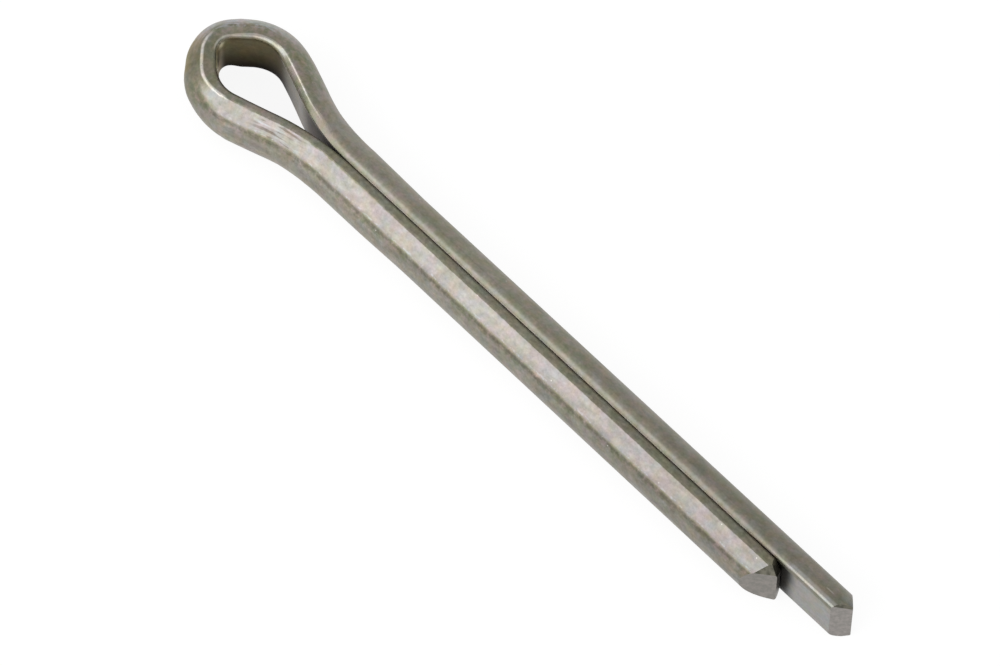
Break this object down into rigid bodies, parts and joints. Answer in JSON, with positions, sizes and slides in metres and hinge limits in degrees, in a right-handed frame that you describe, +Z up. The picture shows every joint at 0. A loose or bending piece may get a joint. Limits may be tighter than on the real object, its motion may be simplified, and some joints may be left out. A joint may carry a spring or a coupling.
{
  "type": "cotter pin",
  "caption": "Split cotter pin folded from half-round steel wire, with an open eye and legs of unequal length, to lock a slotted nut, clevis or shaft.",
  "frame": {"origin": "centre of the underside of the box around the pin, which lies on its side as it comes to rest", "axes": "+X along the shank from the eye to the tips, +Y from the short leg to the long leg, +Z up through the eye"},
  "size_m": [0.0624, 0.0088, 0.0043],
  "materials": {
    "steel": "satin"
  },
  "bodies": {
    "root": {"cotter_pin": "steel"}
  },
  "joints": []
}
